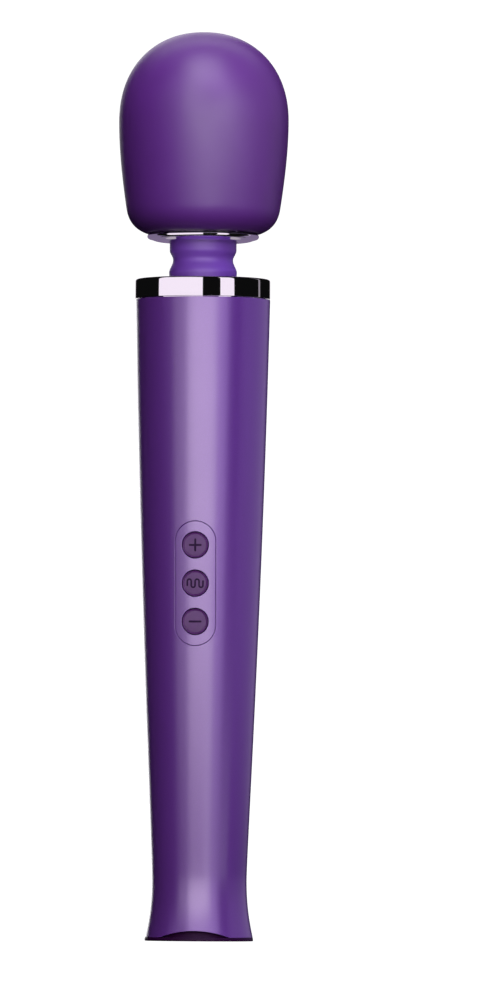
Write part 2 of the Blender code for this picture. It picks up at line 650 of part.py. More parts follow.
# ---- head ----
def head(parent):
    corner = HEAD_FLOOR + GAP
    lining = [*head_line(SKIN, corner, CORE_SPLIT, 5), *head_line(SKIN, CORE_SPLIT + GAP, HEAD_TOP, 8)]
    lip = 20.3 * MM
    turned("head_cap", [
        (lip, HEAD_BOTTOM), *head_curve(3, 2, 7), *reversed(lining), (lip, HEAD_FLOOR - GAP),
    ], "silicone_purple", parent, 30)
    skin, back = SKIN + GAP, SKIN + GAP + CORE_WALL
    bush_seat, hub = 5.3 * MM, 7.5 * MM
    lower = turned("head_core_lower", [
        (bush_seat, HEAD_FLOOR), *head_line(skin, corner, CORE_SPLIT, 5),
        *reversed(head_line(back, 262 * MM, CORE_SPLIT, 3)), (hub, 262 * MM), (hub, 267 * MM),
        (bush_seat, 267 * MM),
    ], "grey_plastic", parent, 24)
    seat_low, seat_top = 301 * MM, 309 * MM
    outside = head_line(skin, CORE_SPLIT + GAP, HEAD_TOP, 8)
    inside = [p for p in reversed(head_line(back, CORE_SPLIT + GAP, HEAD_TOP, 8)) if p[0] > hub]
    hub_top = float(np.interp(-hub, [-r for r, z in reversed(inside)], [z for r, z in reversed(inside)]))
    turned("head_core_upper", [
        *outside, (0, seat_top), (bush_seat, seat_top), (bush_seat, seat_low), (hub, seat_low),
        (hub, hub_top), *inside,
    ], "grey_plastic", parent, 24)
    bore, bush = SHAFT_RADIUS + RUNNING_GAP, bush_seat - GAP
    turned("lower_bush", ring_profile(bore, bush, HEAD_FLOOR + GAP, 266.7 * MM), "bronze", parent, 20)
    turned("upper_bush", ring_profile(bore, bush, seat_low + GAP, seat_top - GAP), "bronze", parent, 20)
    ring = turned("head_ring", [
        (NECK_PASSAGE, 253.5 * MM), (16.8 * MM, 253.7 * MM), (19.3 * MM, 254.3 * MM), (20.1 * MM, 254.9 * MM),
        (HEAD_RING_RADIUS, 255.6 * MM), (20.0 * MM, HEAD_BOTTOM - GAP), (20.0 * MM, HEAD_FLOOR - GAP),
        (NECK_FLANGE_RADIUS + GAP, HEAD_FLOOR - GAP), (NECK_FLANGE_RADIUS + GAP, 255.4 * MM),
        (NECK_PASSAGE, 255.4 * MM),
    ], "chrome", parent, 32)
    for i, (x, y) in enumerate(around(3, 18.25 * MM)):
        cut(lower, rod_mesh(SCREW_HOLE, (x, y, 250 * MM), (x, y, 265 * MM)))
        cut(ring, rod_mesh(SCREW_HOLE, (x, y, 255.9 * MM), (x, y, 265 * MM)))
        screw(f"ring_screw_{i + 1}", (x, y, 262 * MM + GAP), (x, y, 256.4 * MM), parent)


def build():
    start_clean()
    handle_frame = frame_at("handle_frame", 0)
    rotor_frame = frame_at("rotor_frame", 183.5 * MM, handle_frame)
    neck_frame = frame_at("neck_frame", PITCH_PIVOT, handle_frame)
    head_frame = frame_at("head_frame", ROLL_PIVOT, neck_frame)
    weight_frame = frame_at("weight_frame", 282 * MM, head_frame)
    handle_shells(handle_frame)
    button_panel(handle_frame)
    for name, height in BUTTON_HEIGHTS.items():
        button(name, height, handle_frame)
    board_and_switches(handle_frame)
    battery_pack(handle_frame)
    base_and_jack(handle_frame)
    motor(handle_frame, rotor_frame)
    collar_and_clamp(handle_frame)
    leads(handle_frame)
    neck_sleeve(handle_frame, head_frame)
    coupling(neck_frame)
    head(head_frame)
    eccentric(weight_frame)


build()
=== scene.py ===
"""The wand massager's looks: fine surfaces, materials, studio light and camera around the CAD frame."""

from math import asin, cos, pi, radians, sin

import bmesh
import bpy
import numpy as np
from mathutils import Matrix, Vector
from mathutils.geometry import delaunay_2d_cdt


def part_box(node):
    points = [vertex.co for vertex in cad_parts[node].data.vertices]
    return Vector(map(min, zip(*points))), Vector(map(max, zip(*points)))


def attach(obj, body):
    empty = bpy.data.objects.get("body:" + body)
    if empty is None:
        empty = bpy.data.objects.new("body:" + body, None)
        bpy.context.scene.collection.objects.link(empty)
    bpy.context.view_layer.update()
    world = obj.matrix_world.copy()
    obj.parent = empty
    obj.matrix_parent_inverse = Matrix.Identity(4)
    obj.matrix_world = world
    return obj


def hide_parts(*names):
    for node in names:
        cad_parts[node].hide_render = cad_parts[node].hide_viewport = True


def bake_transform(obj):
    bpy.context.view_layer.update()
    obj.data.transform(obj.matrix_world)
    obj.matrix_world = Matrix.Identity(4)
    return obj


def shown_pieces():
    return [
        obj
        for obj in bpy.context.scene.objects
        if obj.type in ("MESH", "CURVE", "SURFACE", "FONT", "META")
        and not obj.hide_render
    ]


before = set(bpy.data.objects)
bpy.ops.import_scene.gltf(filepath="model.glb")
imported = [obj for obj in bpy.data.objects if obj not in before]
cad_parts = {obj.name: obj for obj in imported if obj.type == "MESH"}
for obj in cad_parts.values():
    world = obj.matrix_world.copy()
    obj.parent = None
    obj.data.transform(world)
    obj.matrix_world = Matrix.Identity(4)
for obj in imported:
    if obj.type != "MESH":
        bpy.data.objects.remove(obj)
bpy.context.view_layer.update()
MM = 0.001

# Sizes that the CAD frame gives
FOOT_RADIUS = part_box("base_cap")[1].x
SHELL_LOW, SHELL_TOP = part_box("front_shell")[0].z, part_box("front_shell")[1].z
COLLAR_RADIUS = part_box("collar_ring")[1].x
COLLAR_LOW, COLLAR_TOP = SHELL_TOP + 0.3 * MM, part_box("collar_ring")[1].z
HEAD_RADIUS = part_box("head_cap")[1].x
HEAD_LOW, HEAD_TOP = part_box("head_cap")[0].z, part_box("head_cap")[1].z
RING_LOW, RING_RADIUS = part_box("head_ring")[0].z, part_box("head_ring")[1].x
NECK_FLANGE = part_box("neck_sleeve_lower")[1].x
NECK_SPLIT = (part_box("neck_sleeve_lower")[1].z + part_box("neck_sleeve_upper")[0].z) / 2
KEYS = {name: sum(p.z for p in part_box(f"{name}_button")) / 2 for name in ("plus", "pattern", "minus")}

# Sizes of the outline between them
WAIST_RADIUS, WAIST_HEIGHT = 17.2 * MM, 22 * MM
HEAD_WIDEST, DOME_POWER = 297.4 * MM, 2.17
FLARE_TOP = 24 * MM
PANEL_RADIUS, PANEL_REACH = 7.4 * MM, 1.3 * MM
PANEL_GAP = 0.05 * MM
KEY_RADIUS, KEY_GROOVE, KEY_CROWN = 4.65 * MM, 3.95 * MM, 0.12 * MM
NECK_PASSAGE = 12.6 * MM
HEAD_LIP_RADIUS, HEAD_LIP_TOP = 20.3 * MM, 259 * MM
SHELL_WALL, SHELL_EDGE, SHELL_GAP = 2 * MM, 0.14 * MM, 0.01 * MM


# ---- mesh tools ----
def piece(name, mesh, look, body, replaced):
    """The mesh as a visible piece, with what the frame has to know of it."""
    obj = bpy.data.objects.new(name, mesh)
    bpy.context.scene.collection.objects.link(obj)
    mesh.materials.append(look)
    if body:
        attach(obj, body)
    if replaced:
        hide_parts(*replaced)
    return obj


def mesh_of(name, bm):
    """The bmesh as a mesh. The bmesh is used up."""
    mesh = bpy.data.meshes.new(name)
    bm.to_mesh(mesh)
    bm.free()
    return mesh


def new_object(name, bm, look, body, replaced=()):
    mesh = mesh_of(name, bm)
    mesh.shade_smooth()
    return piece(name, mesh, look, body, replaced)


def lathe_mesh(profile, segments=128):
    """A closed (radius, height) loop turned about Z."""
    bm = bmesh.new()
    columns = []
    poles = {}
    for i in range(segments):
        angle = 2 * pi * i / segments
        column = []
        for j, (r, z) in enumerate(profile):
            if r < 1e-7:
                if j not in poles:
                    poles[j] = bm.verts.new((0, 0, z))
                column.append(poles[j])
            else:
                column.append(bm.verts.new((r * sin(angle), -r * cos(angle), z)))
        columns.append(column)
    count = len(profile)
    for i in range(segments):
        a, b = columns[i], columns[(i + 1) % segments]
        for j in range(count):
            k = (j + 1) % count
            corners = list(dict.fromkeys((a[j], b[j], b[k], a[k])))
            if len(corners) > 2:
                bm.faces.new(corners)
    bmesh.ops.recalc_face_normals(bm, faces=bm.faces)
    return bm


def rounded(points, radius, steps=4):
    """A closed (radius, height) loop with its corners rounded. A corner may give its own radius third."""
    result = []
    count = len(points)
    for i, point in enumerate(points):
        here = np.array(point[:2])
        r = point[2] if len(point) > 2 else radius
        before, after = np.array(points[i - 1][:2]), np.array(points[(i + 1) % count][:2])
        if r == 0 or here[0] < 1e-7:
            result.append(tuple(here))
            continue
        into, out = before - here, after - here
        reach = min(r, 0.45 * np.linalg.norm(into), 0.45 * np.linalg.norm(out))
        into, out = into / np.linalg.norm(into) * reach, out / np.linalg.norm(out) * reach
        for k in range(steps + 1):
            t = k / steps
            result.append(tuple(here + into * (1 - t) ** 2 + out * t**2))
    return result


def bend(start, lead, tail, end, steps):
    """Points of a cubic curve, without its last."""
    t = np.linspace(0, 1, steps + 1)[:-1, None]
    p0, p1, p2, p3 = (np.array(p) for p in (start, lead, tail, end))
    points = (1 - t) ** 3 * p0 + 3 * (1 - t) ** 2 * t * p1 + 3 * (1 - t) * t**2 * p2 + t**3 * p3
    return [tuple(map(float, p)) for p in points]


def offset(loop, distance):
    """A counter-clockwise (a, b) loop moved to its left, into the material, and its outward directions."""
    loop = np.array(loop)
    ahead = np.roll(loop, -1, axis=0) - loop
    ahead /= np.linalg.norm(ahead, axis=1)[:, None]
    left = np.column_stack([-ahead[:, 1], ahead[:, 0]])
    miter = left + np.roll(left, 1, axis=0)
    miter /= np.linalg.norm(miter, axis=1)[:, None]
    stretch = np.einsum("ij,ij->i", miter, left).clip(0.3)
    return loop + miter * (distance / stretch)[:, None], -miter


EDGE_TURNS = [radians(90 - 22.5 * i) for i in range(5)]  # tilts of the rows that round a plate's edge


def distance_to(points, loop):
    """Distance from each of points to a closed loop."""
    a, b = np.array(loop), np.roll(np.array(loop), -1, axis=0)
    best = np.full(len(points), 1e9)
    for p, q in zip(a, b):
        along = q - p
        t = (((points - p) @ along) / (along @ along)).clip(0, 1)
        best = np.minimum(best, np.linalg.norm(points - p - t[:, None] * along, axis=1))
    return best


def inside(points, loop):
    """Which of points a closed loop holds."""
    x, y = points[:, 0], points[:, 1]
    held = np.zeros(len(points), bool)
    for (x0, y0), (x1, y1) in zip(loop, np.roll(np.array(loop), -1, axis=0)):
        if y0 == y1:
            continue
        crosses = ((y0 > y) != (y1 > y)) & (x < (x1 - x0) * (y - y0) / (y1 - y0) + x0)
        held ^= crosses
    return held


def on_plate(points, loops):
    """Which of points the first loop holds and the others, its holes, don't."""
    held = inside(points, loops[0])
    for loop in loops[1:]:
        held &= ~inside(points, loop)
    return held


def edge_rows(loops, edge):
    """The rows of points that round each loop off: flat places, depths, tilts and outward directions, the
    lines along the rows, and the numbers of each loop's first row."""
    flat, depth, tilt, outward, lines, rims = [], [], [], [], [], []
    for loop in loops:
        count = len(loop)
        for turn in EDGE_TURNS:
            moved, out = offset(loop, edge * (1 - sin(turn)))
            first = sum(map(len, flat))
            if turn == EDGE_TURNS[0]:
                rims.append(range(first, first + count))
            flat.append(moved)
            depth.append(np.full(count, edge * (1 - cos(turn))))
            tilt.append(np.full(count, turn))
            outward.append(out)
            lines += [(first + i, first + (i + 1) % count) for i in range(count)]
    return flat, depth, tilt, outward, lines, rims


def inner_points(grid, loops, edge):
    """The grid's points that lie on the plate, clear of its rounded edges."""
    grid = np.array(grid).reshape(-1, 2)
    grid = grid[on_plate(grid, loops)]
    for loop in loops:
        grid = grid[distance_to(grid, loop) > edge * 2.2]
    return grid


def triangles(name, flat, lines, loops):
    """Triangles between the flat points, as rows of three point numbers."""
    scale = 1000.0
    _, _, faces, original, *_ = delaunay_2d_cdt([Vector(p * scale) for p in flat], lines, [], 0, 1e-6, True)
    assert len(original) == len(flat), (name, "points merged", len(original), len(flat))
    order = [sources[0] for sources in original]
    faces = np.array([[order[v] for v in face] for face in faces])
    return faces[on_plate(flat[faces].mean(axis=1), loops)]


def plate_normals(lift, flat, tilt, outward):
    """Normals of the top: square to the surface, and leaning outward on the rounded edges."""
    step, level = 1e-6, np.zeros(len(flat))
    base = lift(flat, level)
    along_a = lift(flat + (step, 0), level) - base
    along_b = lift(flat + (0, step), level) - base
    normal = np.cross(along_a, along_b)
    normal /= np.linalg.norm(normal, axis=1)[:, None]
    if np.mean(np.einsum("ij,ij->i", normal, base - lift(flat, level + 1e-4))) < 0:
        normal = -normal
    sideways = along_a * outward[:, :1] + along_b * outward[:, 1:]
    sideways /= np.maximum(np.linalg.norm(sideways, axis=1)[:, None], 1e-12)
    return normal * np.cos(tilt)[:, None] + sideways * np.sin(tilt)[:, None]


def underside(tops, loops, count):
    """The top's triangles turned over. The plain underside has no rounded rows: each loop's first row stands
    for all of them, and triangles that shrink to a line are left out."""
    rim_of = np.arange(count)
    first = 0
    for loop in loops:
        rim = np.arange(first, first + len(loop))
        for _ in EDGE_TURNS:
            rim_of[first:first + len(loop)] = rim
            first += len(loop)
    faces = [rim_of[face] + count for face in tops]
    return [(a, c, b) for a, b, c in faces if len({a, b, c}) == 3]


def rim_walls(rims, count):
    """The sides of the plate, from each loop's first row down to the underside."""
    walls = []
    for rim in rims:
        for v in rim:
            w = v + 1 if v + 1 in rim else rim[0]
            walls.append((v, v + count, w + count, w))
    return walls


def plate_object(name, outline, holes, place, thickness, edge, grid, look, body, replaced=()):
    """A plate with rounded edges on a curved surface. Outline is a counter-clockwise loop of (a, b) points
    and holes are clockwise ones, place(a, b, depth) gives a point below the surface, and grid is the inner
    points."""
    def lift(points, below):
        return np.array([place(a, b, d) for (a, b), d in zip(points, below)])

    loops = [np.array(outline), *map(np.array, holes)]
    flat, depth, tilt, outward, lines, rims = edge_rows(loops, edge)
    inner = inner_points(grid, loops, edge)
    level = np.zeros(len(inner))
    flat, outward = np.vstack([*flat, inner]), np.vstack([*outward, np.zeros((len(inner), 2))])
    depth, tilt = np.concatenate([*depth, level]), np.concatenate([*tilt, level])
    count = len(flat)
    tops = triangles(name, flat, lines, loops)
    polygons = [*map(tuple, tops), *underside(tops, loops, count), *rim_walls(rims, count)]
    used = sorted({v for polygon in polygons for v in polygon})
    number = {v: i for i, v in enumerate(used)}
    verts = np.vstack([lift(flat, depth), lift(flat, np.full(count, thickness))])[used]

    mesh = bpy.data.meshes.new(name)
    mesh.from_pydata(verts.tolist(), [], [tuple(number[v] for v in polygon) for polygon in polygons])
    bm = bmesh.new()
    bm.from_mesh(mesh)
    bmesh.ops.recalc_face_normals(bm, faces=bm.faces)
    bm.to_mesh(mesh)
    bm.free()
    mesh.shade_smooth()
    top_normals = plate_normals(lift, flat, tilt, outward)[[v for v in used if v < count]]
    corner_normals = []
    for polygon in mesh.polygons:
        is_top = polygon.index < len(tops)
        corner_normals += [top_normals[v] if is_top else polygon.normal for v in polygon.vertices]
    mesh.normals_split_custom_set(corner_normals)
    return piece(name, mesh, look, body, replaced)


# ---- materials ----
class Nodes:
    """A Principled material and short calls for its node tree. Textures use the object's own coordinates."""

    def __init__(self, name, colour, roughness, metallic=0.0, **sockets):
        self.material = bpy.data.materials.new(name)
        self.material.use_nodes = True
        self.tree = self.material.node_tree
        self.shader = self.tree.nodes["Principled BSDF"]
        self.set(self.shader, **{"Base Color": (*colour, 1), "Roughness": roughness, "Metallic": metallic})
        for socket, value in sockets.items():
            self.shader.inputs[socket.replace("_", " ")].default_value = value
        self.place = self.tree.nodes.new("ShaderNodeTexCoord").outputs["Object"]

    def set(self, node, **values):
        for socket, value in values.items():
            node.inputs[socket].default_value = value

    def link(self, source, target):
        self.tree.links.new(source, target)

    def noise(self, scale, detail=3.0, roughness=0.5, stretch=None):
        node = self.tree.nodes.new("ShaderNodeTexNoise")
        self.set(node, Scale=scale, Detail=detail, Roughness=roughness)
        self.link(self.stretched(stretch) if stretch else self.place, node.inputs["Vector"])
        return node.outputs["Fac"]

    def stretched(self, scale):
        node = self.tree.nodes.new("ShaderNodeMapping")
        node.inputs["Scale"].default_value = scale
        self.link(self.place, node.inputs["Vector"])
        return node.outputs["Vector"]

    def cells(self, scale, feature="F1", stretch=None):
        node = self.tree.nodes.new("ShaderNodeTexVoronoi")
        node.feature = feature
        self.set(node, Scale=scale)
        self.link(self.stretched(stretch) if stretch else self.place, node.inputs["Vector"])
        return node.outputs["Distance"]

    def remap(self, source, low, high, out_low, out_high):
        node = self.tree.nodes.new("ShaderNodeMapRange")
        for socket, value in zip(node.inputs[1:5], (low, high, out_low, out_high)):
            socket.default_value = value
        self.link(source, node.inputs["Value"])
        return node.outputs["Result"]

    def mix(self, share, low, high):
        node = self.tree.nodes.new("ShaderNodeMix")
        node.data_type = "RGBA"
        self.link(share, node.inputs["Factor"])
        for socket, value in ((node.inputs["A"], low), (node.inputs["B"], high)):
            if isinstance(value, tuple):
                socket.default_value = (*value, 1)
            else:
                self.link(value, socket)
        return node.outputs["Result"]

    def colour(self, source):
        self.link(source, self.shader.inputs["Base Color"])
        return self

    def roughness(self, source):
        self.link(source, self.shader.inputs["Roughness"])
        return self

    def bump(self, *layers):
        """Layers of (height, distance in metres, strength)."""
        normal = None
        for height, distance, strength in layers:
            node = self.tree.nodes.new("ShaderNodeBump")
            self.set(node, Strength=strength, Distance=distance)
            self.link(height, node.inputs["Height"])
            if normal:
                self.link(normal, node.inputs["Normal"])
            normal = node.outputs["Normal"]
        self.link(normal, self.shader.inputs["Normal"])
        return self


def shades(colour, spread):
    """A darker and a lighter version of a colour."""
    return tuple(c * (1 - spread) for c in colour), tuple(min(1, c * (1 + spread)) for c in colour)


def satin_shell():
    """Satin metallic lacquer: a fine pearl flake under a soft clear coat, with faint handling marks."""
    base = (0.120, 0.034, 0.235)
    n = Nodes("satin_shell", base, 0.32, 0.12, Coat_Weight=0.9, Coat_Roughness=0.27, Coat_IOR=1.6, IOR=1.55)
    flake = n.cells(5200)
    cloud = n.noise(38, 4)
    n.colour(n.mix(n.remap(flake, 0.1, 0.9, 0, 1), *shades(base, 0.10)))
    n.roughness(n.remap(cloud, 0.3, 0.7, 0.30, 0.35))
    return n.bump((flake, 0.00002, 0.10), (n.noise(2600, 2), 0.00002, 0.10)).material


def silicone(name, base, roughness):
    """Matte silicone with a fine eroded-mould texture."""
    n = Nodes(name, base, roughness, 0.0, IOR=1.6)
    n.colour(n.mix(n.remap(n.noise(55, 5, 0.6), 0.3, 0.7, 0, 1), *shades(base, 0.05)))
    n.roughness(n.remap(n.noise(90, 4), 0.3, 0.7, roughness - 0.03, roughness + 0.03))
    return n.bump((n.noise(3300, 3, 0.6), 0.00003, 0.16), (n.noise(700, 2), 0.00002, 0.08)).material


def plated():
    """Mirror plating with hairline polishing marks round the piece."""
    base = (0.90, 0.885, 0.93)
    n = Nodes("plated", base, 0.03, 1.0)
    marks = n.noise(900, 4, 0.6, (0.25, 0.25, 6))
    n.roughness(n.remap(marks, 0.35, 0.75, 0.02, 0.06))
    return n.bump((marks, 0.000002, 0.03)).material


def key_face():
    """The keys' satin plum plastic."""
    base = (0.078, 0.018, 0.110)
    n = Nodes("key_face", base, 0.45, 0.0, IOR=1.38)
    n.colour(n.mix(n.remap(n.noise(600, 4), 0.3, 0.7, 0, 1), *shades(base, 0.08)))
    n.roughness(n.remap(n.noise(260, 3), 0.3, 0.7, 0.35, 0.42))
    return n.bump((n.noise(4200, 2), 0.00002, 0.12)).material


def key_ink():
    base = (0.016, 0.002, 0.026)
    n = Nodes("key_ink", base, 0.7, 0.0, Specular_IOR_Level=0.15)
    n.colour(n.mix(n.remap(n.noise(900, 3), 0.3, 0.7, 0, 1), *shades(base, 0.15)))
    return n.roughness(n.remap(n.noise(500, 3), 0.3, 0.7, 0.55, 0.68)).material


def moulded(name, colour, roughness=0.5, shine=0.5):
    """Moulded plastic with a spark-eroded grain and slight flow clouding."""
    n = Nodes(name, colour, roughness, Specular_IOR_Level=shine)
    n.colour(n.mix(n.remap(n.noise(70, 5), 0.3, 0.7, 0, 1), *shades(colour, 0.07)))
    n.roughness(n.remap(n.noise(240, 4), 0.3, 0.7, roughness - 0.06, roughness + 0.06))
    return n.bump((n.noise(2400, 3, 0.6), 0.00003, 0.2)).material


def rubber():
    n = Nodes("rubber", (0.026, 0.026, 0.027), 0.75, 0.0, Sheen_Weight=0.15)
    n.roughness(n.remap(n.noise(160, 4), 0.3, 0.7, 0.68, 0.82))
    return n.bump((n.noise(1500, 4, 0.65), 0.00004, 0.3)).material


def turned_metal(name, colour, roughness):
    """Machined metal: fine rings round the axis."""
    n = Nodes(name, colour, roughness, 1.0)
    rings = n.noise(1200, 3, 0.6, (0.08, 0.08, 3))
    n.colour(n.mix(n.remap(n.noise(120, 4), 0.3, 0.7, 0, 1), *shades(colour, 0.08)))
    n.roughness(n.remap(rings, 0.35, 0.7, roughness - 0.08, roughness + 0.1))
    return n.bump((rings, 0.00001, 0.15)).material


def windings():
    """Enamelled copper wire, wound along the armature's slots."""
    n = Nodes("windings", (0.52, 0.20, 0.07), 0.3, 0.9)
    wires = n.cells(900, stretch=(1, 1, 0.06))
    n.colour(n.mix(n.remap(wires, 0.1, 0.7, 0, 1), (0.62, 0.27, 0.10), (0.24, 0.08, 0.03)))
    n.roughness(n.remap(n.noise(300, 3), 0.3, 0.7, 0.25, 0.4))
    return n.bump((wires, 0.0002, -0.5)).material


def ferrite():
    n = Nodes("ferrite", (0.045, 0.044, 0.047), 0.62, 0.35)
    grains = n.noise(1400, 5, 0.7)
    n.colour(n.mix(n.remap(grains, 0.35, 0.65, 0, 1), (0.03, 0.03, 0.032), (0.07, 0.068, 0.072)))
    return n.bump((grains, 0.00005, 0.3)).material


def cell_wrap():
    """Shrink film round the cells: glossy, with soft lengthwise creases."""
    n = Nodes("cell_wrap", (0.02, 0.13, 0.33), 0.28, 0.0, Coat_Weight=0.3, Coat_Roughness=0.12)
    creases = n.noise(180, 3, 0.5, (1, 1, 0.12))
    n.colour(n.mix(n.remap(creases, 0.3, 0.7, 0, 1), (0.016, 0.11, 0.29), (0.024, 0.15, 0.37)))
    n.roughness(n.remap(n.noise(90, 3), 0.3, 0.7, 0.24, 0.34))
    return n.bump((creases, 0.0001, 0.15)).material


def circuit_board():
    """Green solder mask with raised copper tracks under it."""
    n = Nodes("circuit_board", (0.008, 0.10, 0.035), 0.38, 0.0, Coat_Weight=0.3, Coat_Roughness=0.2)
    tracks = n.cells(260, "DISTANCE_TO_EDGE", (1, 0.2, 1))
    raised = n.remap(tracks, 0.04, 0.09, 1, 0)
    n.colour(n.mix(raised, (0.006, 0.085, 0.03), (0.03, 0.20, 0.07)))
    n.roughness(n.remap(n.noise(400, 3), 0.3, 0.7, 0.34, 0.44))
    return n.bump((raised, 0.00004, 0.4)).material


LOOKS = {
    "shell": satin_shell(),
    "silicone": silicone("head_silicone", (0.092, 0.018, 0.190), 0.42),
    "neck": silicone("neck_silicone", (0.110, 0.034, 0.270), 0.52),
    "plated": plated(),
    "key": key_face(),
    "ink": key_ink(),
    # near-black plum for the base cap: painted shade for the arch at the foot and the foot's bottom edge
    "plum": moulded("plum_painted_shade", (0.022, 0.002, 0.028), 0.42, 0.1),
    "black": moulded("black_plastic", (0.018, 0.018, 0.020)),
    "grey": moulded("grey_plastic", (0.32, 0.32, 0.34)),
    "rubber": rubber(),
    "steel": turned_metal("bright_steel", (0.56, 0.57, 0.60), 0.28),
    "bronze": turned_metal("sintered_bronze", (0.50, 0.31, 0.14), 0.42),
    "weight": turned_metal("brass_weight", (0.62, 0.44, 0.20), 0.33),
    "windings": windings(),
    "ferrite": ferrite(),
    "cells": cell_wrap(),
    "board": circuit_board(),
    "wire_red": moulded("red_insulation", (0.42, 0.012, 0.010), 0.42),
    "wire_black": moulded("black_insulation", (0.014, 0.014, 0.015), 0.42),
}
CARRIED_OVER = {
    "black": ("battery_tray", "charging_jack", "controller_chip", "motor_end_cap", "plus_switch",
              "pattern_switch", "minus_switch", "plus_plunger", "pattern_plunger", "minus_plunger"),
    "grey": ("lead_connector", "motor_cradle", "neck_clamp_plate", "neck_guide_ring", "head_core_lower",
             "head_core_upper"),
    "rubber": ("motor_sleeve", "flex_coupling"),
    "steel": ("base_screw_1", "base_screw_2", "board_screw_1", "board_screw_2", "clamp_screw_1",
              "clamp_screw_2", "clamp_screw_3", "motor_screw_1", "motor_screw_2", "ring_screw_1",
              "ring_screw_2", "ring_screw_3", "jack_pin", "motor_can", "motor_plate", "motor_shaft",
              "head_shaft"),
    "bronze": ("lower_bush", "upper_bush"),
    "weight": ("eccentric_weight",),
    "windings": ("motor_armature",),
    "ferrite": ("left_magnet", "right_magnet"),
    "cells": ("lower_cell", "upper_cell"),
    "board": ("control_board",),
    "wire_red": ("motor_lead_red",),
    "wire_black": ("motor_lead_black", "charging_lead"),
}


def dress_carried_over():
    for look, names in CARRIED_OVER.items():
        for name in names:
            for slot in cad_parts[name].material_slots:
                slot.material = LOOKS[look]


# ---- outlines ----
def handle_line(steps=80):
    flare = bend(
        (FOOT_RADIUS, 0), (18.6 * MM, 5.5 * MM), (WAIST_RADIUS, 12 * MM), (WAIST_RADIUS, WAIST_HEIGHT), steps
    )
    taper = bend(
        (WAIST_RADIUS, WAIST_HEIGHT), (WAIST_RADIUS, 33 * MM), (22.2 * MM, 119 * MM),
        (COLLAR_RADIUS, COLLAR_LOW), steps,
    )
    return [*flare, *taper, (COLLAR_RADIUS, COLLAR_LOW)]


HANDLE_RADII, HANDLE_HEIGHTS = np.array(handle_line()).T


def handle_radius(height):
    return float(np.interp(height, HANDLE_HEIGHTS, HANDLE_RADII))


def head_line():
    corner_end = (28.0 * MM, 266 * MM)
    corner = bend(
        (21.0 * MM, HEAD_LOW), (25.6 * MM, HEAD_LOW + 1.8 * MM), (27.4 * MM, 261.8 * MM), corner_end, 14
    )
    side = bend(corner_end, (29.5 * MM, 276 * MM), (HEAD_RADIUS, 287 * MM), (HEAD_RADIUS, HEAD_WIDEST), 18)
    dome = []
    for i in range(41):
        angle = pi / 2 * i / 40
        radius = HEAD_RADIUS * max(cos(angle), 0) ** (2 / DOME_POWER)
        dome.append((radius, HEAD_WIDEST + (HEAD_TOP - HEAD_WIDEST) * sin(angle) ** (2 / DOME_POWER)))
    dome[-1] = (0.0, HEAD_TOP)
    return [*corner, *side, *dome]


def neck_radius(height):
    """Two bulges with a waist between them, where the sleeve is split."""
    bulge, waist, top = 12.35 * MM, 10.9 * MM, 12.15 * MM
    low, high = 242.3 * MM, 250.6 * MM
    if height <= low:
        return bulge - 0.2 * MM * min(1, (low - height) / (1.7 * MM))
    if height >= high:
        return top
    if height < NECK_SPLIT:
        return waist + (bulge - waist) * (1 + cos(pi * (height - low) / (NECK_SPLIT - low))) / 2
    return waist + (top - waist) * (1 - cos(pi * (height - NECK_SPLIT) / (high - NECK_SPLIT))) / 2


# ---- handle ----
SHEET = 21.6 * MM  # radius at which the shell's flat pattern is drawn


def on_shell(a, height, depth):
    """A point of the front shell from its flat pattern: a runs round the handle, from its front."""
    turn, radius = a / SHEET, handle_radius(height) - depth
    return (radius * sin(turn), -radius * cos(turn), height)


def pill(radius, reach, steps=28):
    low, high = KEYS["minus"] - reach, KEYS["plus"] + reach
    top = [(radius * cos(pi * i / steps), high + radius * sin(pi * i / steps)) for i in range(steps + 1)]
    side = [(-radius, z) for z in np.linspace(high, low, 18)[1:-1]]
    bottom = [(-x, low - (z - high)) for x, z in top]
    return [*top, *side, *bottom, *[(-x, z) for x, z in reversed(side)]]


def notch(steps=24):
    """The arch at the bottom of the front shell, from left to right."""
    half_width, top = 12.7 * MM, 3.7 * MM
    rise = top - SHELL_LOW
    radius = (half_width**2 + rise**2) / (2 * rise)
    reach = asin(half_width / radius)
    points = []
    for i in range(steps + 1):
        turn = -reach + 2 * reach * i / steps
        points.append((radius * sin(turn), top - radius + radius * cos(turn)))
    return points


def wrap(points):
    """Points seen from the front, as (x, height), on the shell's flat pattern."""
    return [(SHEET * asin(x / handle_radius(z)), z) for x, z in points]


SHELL_REACH = SHEET * pi / 2 - SHELL_GAP  # half of a shell's flat pattern, less the gap at the side seam


def shell_plate(name, bottom, holes, place, rows, replaced):
    """Half of the handle's shell. bottom is its lower edge on the flat pattern, from left to right."""
    flare, taper = np.linspace(SHELL_LOW, FLARE_TOP, 16), np.linspace(FLARE_TOP, SHELL_TOP, 90)[1:]
    heights = np.concatenate([flare, taper])
    right = [(SHELL_REACH, z) for z in heights]
    top = [(a, SHELL_TOP) for a in np.linspace(SHELL_REACH, -SHELL_REACH, 60)[1:-1]]
    left = [(-SHELL_REACH, z) for z in reversed(heights)]
    low_rows, high_rows = np.linspace(2 * MM, FLARE_TOP, 22), np.linspace(25 * MM, SHELL_TOP - 0.6 * MM, rows)
    columns = np.linspace(-SHELL_REACH, SHELL_REACH, 62)[1:-1]
    grid = [(a, z) for z in np.concatenate([low_rows, high_rows]) for a in columns]
    return plate_object(
        name, [*right, *top, *left, *bottom], holes, place, SHELL_WALL, SHELL_EDGE, grid, LOOKS["shell"],
        "handle", replaced=(replaced,),
    )


